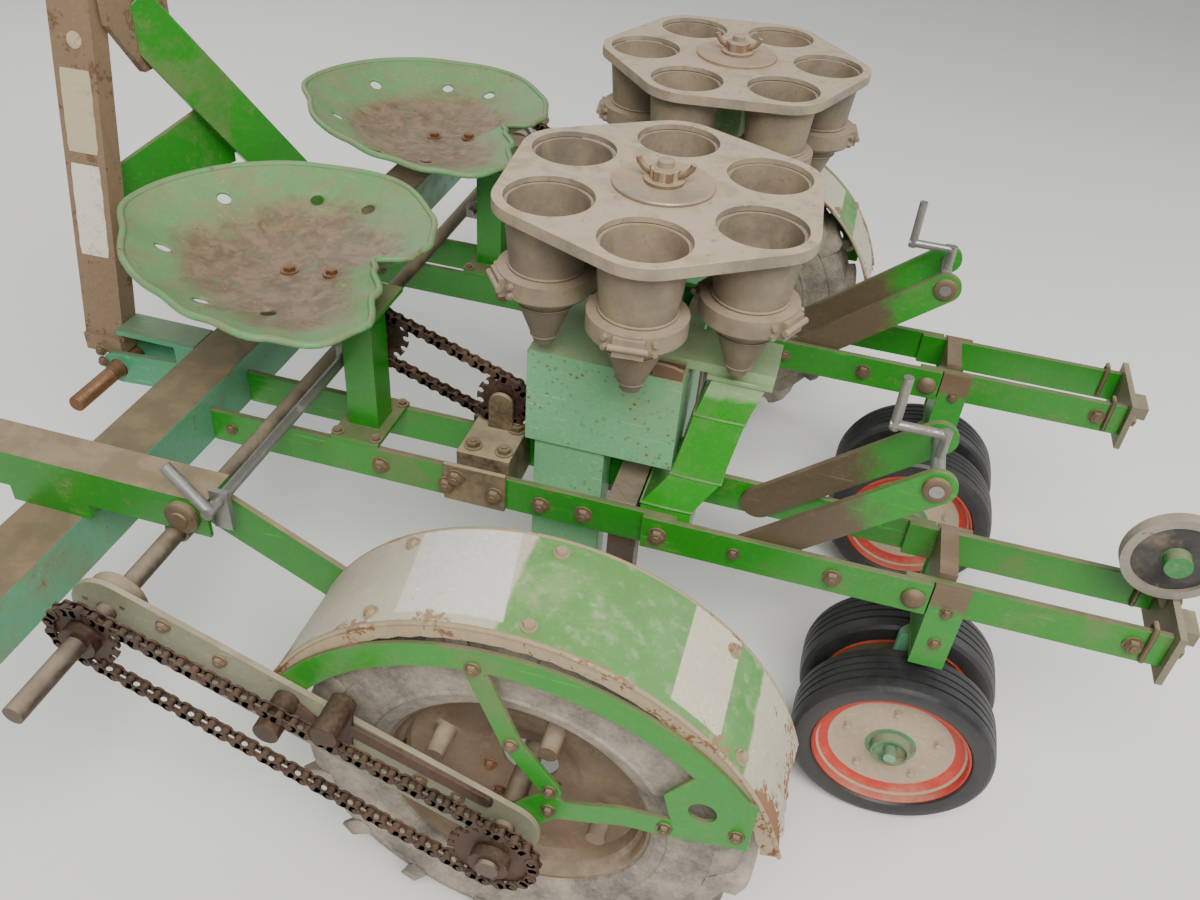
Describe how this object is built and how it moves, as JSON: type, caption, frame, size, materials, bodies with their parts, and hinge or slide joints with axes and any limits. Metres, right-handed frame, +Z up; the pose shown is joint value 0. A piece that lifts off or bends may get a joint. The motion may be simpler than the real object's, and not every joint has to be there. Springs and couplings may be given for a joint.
{
  "type": "mounted seedling transplanter",
  "caption": "Tractor-mounted carousel seedling transplanter with seats, chain-driven ground wheels, press wheels and turning cup carousels on a toolbar.",
  "frame": {"origin": "middle of the machine's box, on the ground", "axes": "+X the way of travel, +Y the machine's left, +Z up"},
  "size_m": [1.832, 1.98, 1.1],
  "materials": {
    "toolbar": "worn, dusty",
    "lower_link_brackets": "worn",
    "lower_link_pins": "rusty",
    "mast": "dusty, rusty",
    "mast_brace": "gloss, scratched",
    "wheel_arms": "worn, dusty",
    "outer_arms": "dusty",
    "wheel_axles": "rusty",
    "drive_shaft": "rusty",
    "shaft_bearings": "dusty",
    "sprockets": "rusty",
    "drive_chains": "rusty, greasy",
    "chain_tensioners": "dusty",
    "fenders": "worn paint, rust",
    "fender_struts": "worn",
    "wheel_cranks": "galvanised",
    "seat_posts": "dusty",
    "seats": "dusty",
    "front_links": "gloss, dusty top",
    "junction_blocks": "dusty",
    "row_rails": "gloss, dusty top",
    "rear_rails": "gloss, dusty top",
    "end_plates": "dusty",
    "depth_arms": "gloss, dusty",
    "depth_cranks": "galvanised",
    "press_brackets": "dusty",
    "chute_boxes": "spotted",
    "carousel_arms": "gloss",
    "furrow_openers": "worn steel",
    "drive_tyre": "dusty",
    "drive_rim": "rusty",
    "press_tyre": "smooth",
    "press_disc": "worn, red ring",
    "carousel": "dusty casting",
    "cups": "dusty"
  },
  "bodies": {
    "frame": {"toolbar": "toolbar", "lower_link_brackets": "lower_link_brackets", "lower_link_pins": "lower_link_pins", "mast": "mast", "mast_brace": "mast_brace", "wheel_arms": "wheel_arms", "outer_arms": "outer_arms", "wheel_axles": "wheel_axles", "drive_shaft": "drive_shaft", "shaft_bearings": "shaft_bearings", "sprockets": "sprockets", "drive_chains": "drive_chains", "chain_tensioners": "chain_tensioners", "fenders": "fenders", "fender_struts": "fender_struts", "wheel_cranks": "wheel_cranks", "seat_posts": "seat_posts", "seats": "seats", "front_links": "front_links", "junction_blocks": "junction_blocks", "row_rails": "row_rails", "rear_rails": "rear_rails", "end_plates": "end_plates", "depth_arms": "depth_arms", "depth_cranks": "depth_cranks", "press_brackets": "press_brackets", "chute_boxes": "chute_boxes", "carousel_arms": "carousel_arms", "furrow_openers": "furrow_openers"},
    "drive_wheel_left": {"drive_tyre_left": "drive_tyre", "drive_rim_left": "drive_rim"},
    "drive_wheel_right": {"drive_tyre_right": "drive_tyre", "drive_rim_right": "drive_rim"},
    "press_wheel_left_outer": {"press_tyre_left_outer": "press_tyre", "press_disc_left_outer": "press_disc"},
    "press_wheel_left_inner": {"press_tyre_left_inner": "press_tyre", "press_disc_left_inner": "press_disc"},
    "press_wheel_right_outer": {"press_tyre_right_outer": "press_tyre", "press_disc_right_outer": "press_disc"},
    "press_wheel_right_inner": {"press_tyre_right_inner": "press_tyre", "press_disc_right_inner": "press_disc"},
    "seedling_drum_left": {"carousel_left": "carousel", "cups_left": "cups"},
    "seedling_drum_right": {"carousel_right": "carousel", "cups_right": "cups"}
  },
  "joints": [
    {"name": "drive_wheel_left_spin", "type": "hinge", "parent": "frame", "child": "drive_wheel_left", "pos_m": [-0.067, 0.69, 0.32], "axis": [0, 1, 0], "continuous": true},
    {"name": "drive_wheel_right_spin", "type": "hinge", "parent": "frame", "child": "drive_wheel_right", "pos_m": [-0.067, -0.69, 0.32], "axis": [0, 1, 0], "continuous": true},
    {"name": "press_wheel_left_outer_spin", "type": "hinge", "parent": "frame", "child": "press_wheel_left_outer", "pos_m": [-0.569, 0.344, 0.159], "axis": [0, 1, 0], "continuous": true},
    {"name": "press_wheel_left_inner_spin", "type": "hinge", "parent": "frame", "child": "press_wheel_left_inner", "pos_m": [-0.569, 0.216, 0.159], "axis": [0, 1, 0], "continuous": true},
    {"name": "press_wheel_right_outer_spin", "type": "hinge", "parent": "frame", "child": "press_wheel_right_outer", "pos_m": [-0.569, -0.344, 0.159], "axis": [0, 1, 0], "continuous": true},
    {"name": "press_wheel_right_inner_spin", "type": "hinge", "parent": "frame", "child": "press_wheel_right_inner", "pos_m": [-0.569, -0.216, 0.159], "axis": [0, 1, 0], "continuous": true},
    {"name": "seedling_drum_left_turn", "type": "hinge", "parent": "frame", "child": "seedling_drum_left", "pos_m": [-0.077, 0.21, 0.892], "axis": [0, 0, 1], "continuous": true},
    {"name": "seedling_drum_right_turn", "type": "hinge", "parent": "frame", "child": "seedling_drum_right", "pos_m": [-0.077, -0.35, 0.892], "axis": [0, 0, 1], "continuous": true}
  ]
}
